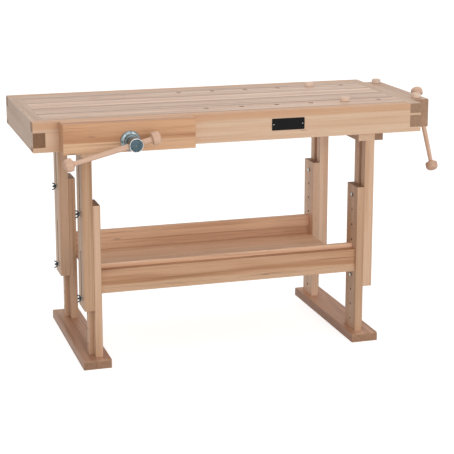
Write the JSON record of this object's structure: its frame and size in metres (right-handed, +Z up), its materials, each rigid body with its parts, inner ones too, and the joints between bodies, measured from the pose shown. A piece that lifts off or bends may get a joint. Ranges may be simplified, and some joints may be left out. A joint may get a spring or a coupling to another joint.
{
  "type": "woodworking bench",
  "caption": "Wooden workbench with a planked top, round dog holes, a face vise, an end vise, splined posts that slide on stepped bolts, sledge feet and a tray shelf.",
  "frame": {"origin": "on the floor, under the middle of the box around the whole bench with its vises closed", "axes": "+X along the worktop from the face vise's end to the end vise, +Y from the face vise's side to the back, +Z up"},
  "size_m": [1.669, 0.824, 0.958],
  "materials": {
    "beech_top": "oiled beech, planed",
    "beech_apron": "oiled beech, planed",
    "beech_frame": "oiled beech",
    "beech_jaw": "oiled beech",
    "beech_turned": "turned beech, waxed",
    "vise_steel": "satin zinc plate",
    "spindle_steel": "turned steel, oiled",
    "zinc_steel": "bright zinc plate",
    "black_plate": "matt black"
  },
  "bodies": {
    "base": {"left_foot": "beech_frame", "right_foot": "beech_frame", "lower_post_left_front": "beech_frame", "lower_post_left_back": "beech_frame", "lower_post_right_front": "beech_frame", "lower_post_right_back": "beech_frame", "guide_strips": "beech_frame", "shelf_rail_front": "beech_frame", "shelf_rail_back": "beech_frame", "tray_wall_front": "beech_frame", "tray_wall_back": "beech_frame", "shelf_boards": "beech_frame", "shelf_battens": "beech_frame", "rail_screws": "zinc_steel", "height_bolts": "zinc_steel"},
    "table": {"worktop_plank_1": "beech_top", "worktop_plank_2": "beech_top", "worktop_plank_3": "beech_top", "worktop_plank_4": "beech_top", "worktop_plank_5": "beech_top", "front_apron": "beech_apron", "back_apron": "beech_apron", "left_cap": "beech_apron", "right_cap": "beech_apron", "name_plate": "black_plate", "left_bearer": "beech_frame", "right_bearer": "beech_frame", "end_vise_block": "beech_frame", "upper_post_left_front": "beech_frame", "upper_post_left_back": "beech_frame", "upper_post_right_front": "beech_frame", "upper_post_right_back": "beech_frame", "top_screws": "zinc_steel", "face_vise_nut_plate": "vise_steel", "end_vise_nut_plate": "vise_steel"},
    "face_jaw": {"face_vise_jaw": "beech_jaw", "face_vise_guide_rods": "vise_steel", "face_vise_flange": "vise_steel"},
    "face_spindle": {"face_vise_spindle": "spindle_steel"},
    "face_bar": {"face_vise_bar": "beech_turned", "face_vise_knobs": "beech_turned"},
    "end_jaw": {"end_vise_jaw": "beech_jaw", "end_vise_guide_rods": "vise_steel", "end_vise_flange": "vise_steel"},
    "end_spindle": {"end_vise_spindle": "spindle_steel"},
    "end_bar": {"end_vise_bar": "beech_turned", "end_vise_knobs": "beech_turned"},
    "bench_dog_front": {"bench_dog_front": "beech_turned"},
    "bench_dog_back": {"bench_dog_back": "beech_turned"},
    "jaw_dog_front": {"jaw_dog_front": "beech_turned"},
    "jaw_dog_back": {"jaw_dog_back": "beech_turned"},
    "wing_nut_left_front_upper": {"wing_nut_left_front_upper": "zinc_steel"},
    "wing_nut_left_front_lower": {"wing_nut_left_front_lower": "zinc_steel"},
    "wing_nut_left_back_upper": {"wing_nut_left_back_upper": "zinc_steel"},
    "wing_nut_left_back_lower": {"wing_nut_left_back_lower": "zinc_steel"},
    "wing_nut_right_front_upper": {"wing_nut_right_front_upper": "zinc_steel"},
    "wing_nut_right_front_lower": {"wing_nut_right_front_lower": "zinc_steel"},
    "wing_nut_right_back_upper": {"wing_nut_right_back_upper": "zinc_steel"},
    "wing_nut_right_back_lower": {"wing_nut_right_back_lower": "zinc_steel"}
  },
  "joints": [
    {"name": "height_slide", "type": "slide", "parent": "base", "child": "table", "axis": [0, 0, 1], "range_m": [-0.18, 0]},
    {"name": "face_jaw_slide", "type": "slide", "parent": "table", "child": "face_jaw", "axis": [0, -1, 0], "range_m": [0, 0.12]},
    {"name": "face_screw_turn", "type": "hinge", "parent": "face_jaw", "child": "face_spindle", "pos_m": [-0.497, -0.313, 0.87], "axis": [0, -1, 0], "range_deg": [0, 7200]},
    {"name": "face_bar_slide", "type": "slide", "parent": "face_spindle", "child": "face_bar", "axis": [-0.9694, 0, -0.2453], "range_m": [-0.2, 0.033]},
    {"name": "end_jaw_slide", "type": "slide", "parent": "table", "child": "end_jaw", "axis": [1, 0, 0], "range_m": [0, 0.12]},
    {"name": "end_screw_turn", "type": "hinge", "parent": "end_jaw", "child": "end_spindle", "pos_m": [0.7355, 0.082, 0.87], "axis": [1, 0, 0], "range_deg": [0, 7200]},
    {"name": "end_bar_slide", "type": "slide", "parent": "end_spindle", "child": "end_bar", "axis": [0, -0.5075, -0.8616], "range_m": [-0.215, 0.018]},
    {"name": "bench_dog_front_lift", "type": "slide", "parent": "table", "child": "bench_dog_front", "axis": [0, 0, 1], "range_m": [0, 0.07]},
    {"name": "bench_dog_back_lift", "type": "slide", "parent": "table", "child": "bench_dog_back", "axis": [0, 0, 1], "range_m": [0, 0.07]},
    {"name": "jaw_dog_front_lift", "type": "slide", "parent": "end_jaw", "child": "jaw_dog_front", "axis": [0, 0, 1], "range_m": [0, 0.07]},
    {"name": "jaw_dog_back_lift", "type": "slide", "parent": "end_jaw", "child": "jaw_dog_back", "axis": [0, 0, 1], "range_m": [0, 0.07]},
    {"name": "wing_nut_left_front_upper_turn", "type": "hinge", "parent": "base", "child": "wing_nut_left_front_upper", "pos_m": [-0.6585, -0.1605, 0.577], "axis": [-1, 0, 0], "continuous": true},
    {"name": "wing_nut_left_front_lower_turn", "type": "hinge", "parent": "base", "child": "wing_nut_left_front_lower", "pos_m": [-0.6585, -0.1605, 0.253], "axis": [-1, 0, 0], "continuous": true},
    {"name": "wing_nut_left_back_upper_turn", "type": "hinge", "parent": "base", "child": "wing_nut_left_back_upper", "pos_m": [-0.6585, 0.3245, 0.577], "axis": [-1, 0, 0], "continuous": true},
    {"name": "wing_nut_left_back_lower_turn", "type": "hinge", "parent": "base", "child": "wing_nut_left_back_lower", "pos_m": [-0.6585, 0.3245, 0.253], "axis": [-1, 0, 0], "continuous": true},
    {"name": "wing_nut_right_front_upper_turn", "type": "hinge", "parent": "base", "child": "wing_nut_right_front_upper", "pos_m": [0.4895, -0.1605, 0.577], "axis": [1, 0, 0], "continuous": true},
    {"name": "wing_nut_right_front_lower_turn", "type": "hinge", "parent": "base", "child": "wing_nut_right_front_lower", "pos_m": [0.4895, -0.1605, 0.253], "axis": [1, 0, 0], "continuous": true},
    {"name": "wing_nut_right_back_upper_turn", "type": "hinge", "parent": "base", "child": "wing_nut_right_back_upper", "pos_m": [0.4895, 0.3245, 0.577], "axis": [1, 0, 0], "continuous": true},
    {"name": "wing_nut_right_back_lower_turn", "type": "hinge", "parent": "base", "child": "wing_nut_right_back_lower", "pos_m": [0.4895, 0.3245, 0.253], "axis": [1, 0, 0], "continuous": true}
  ],
  "couplings": [
    {"joint": "face_jaw_slide", "follows": "face_screw_turn", "m_per_rad": 0.00095493},
    {"joint": "end_jaw_slide", "follows": "end_screw_turn", "m_per_rad": 0.00095493}
  ]
}
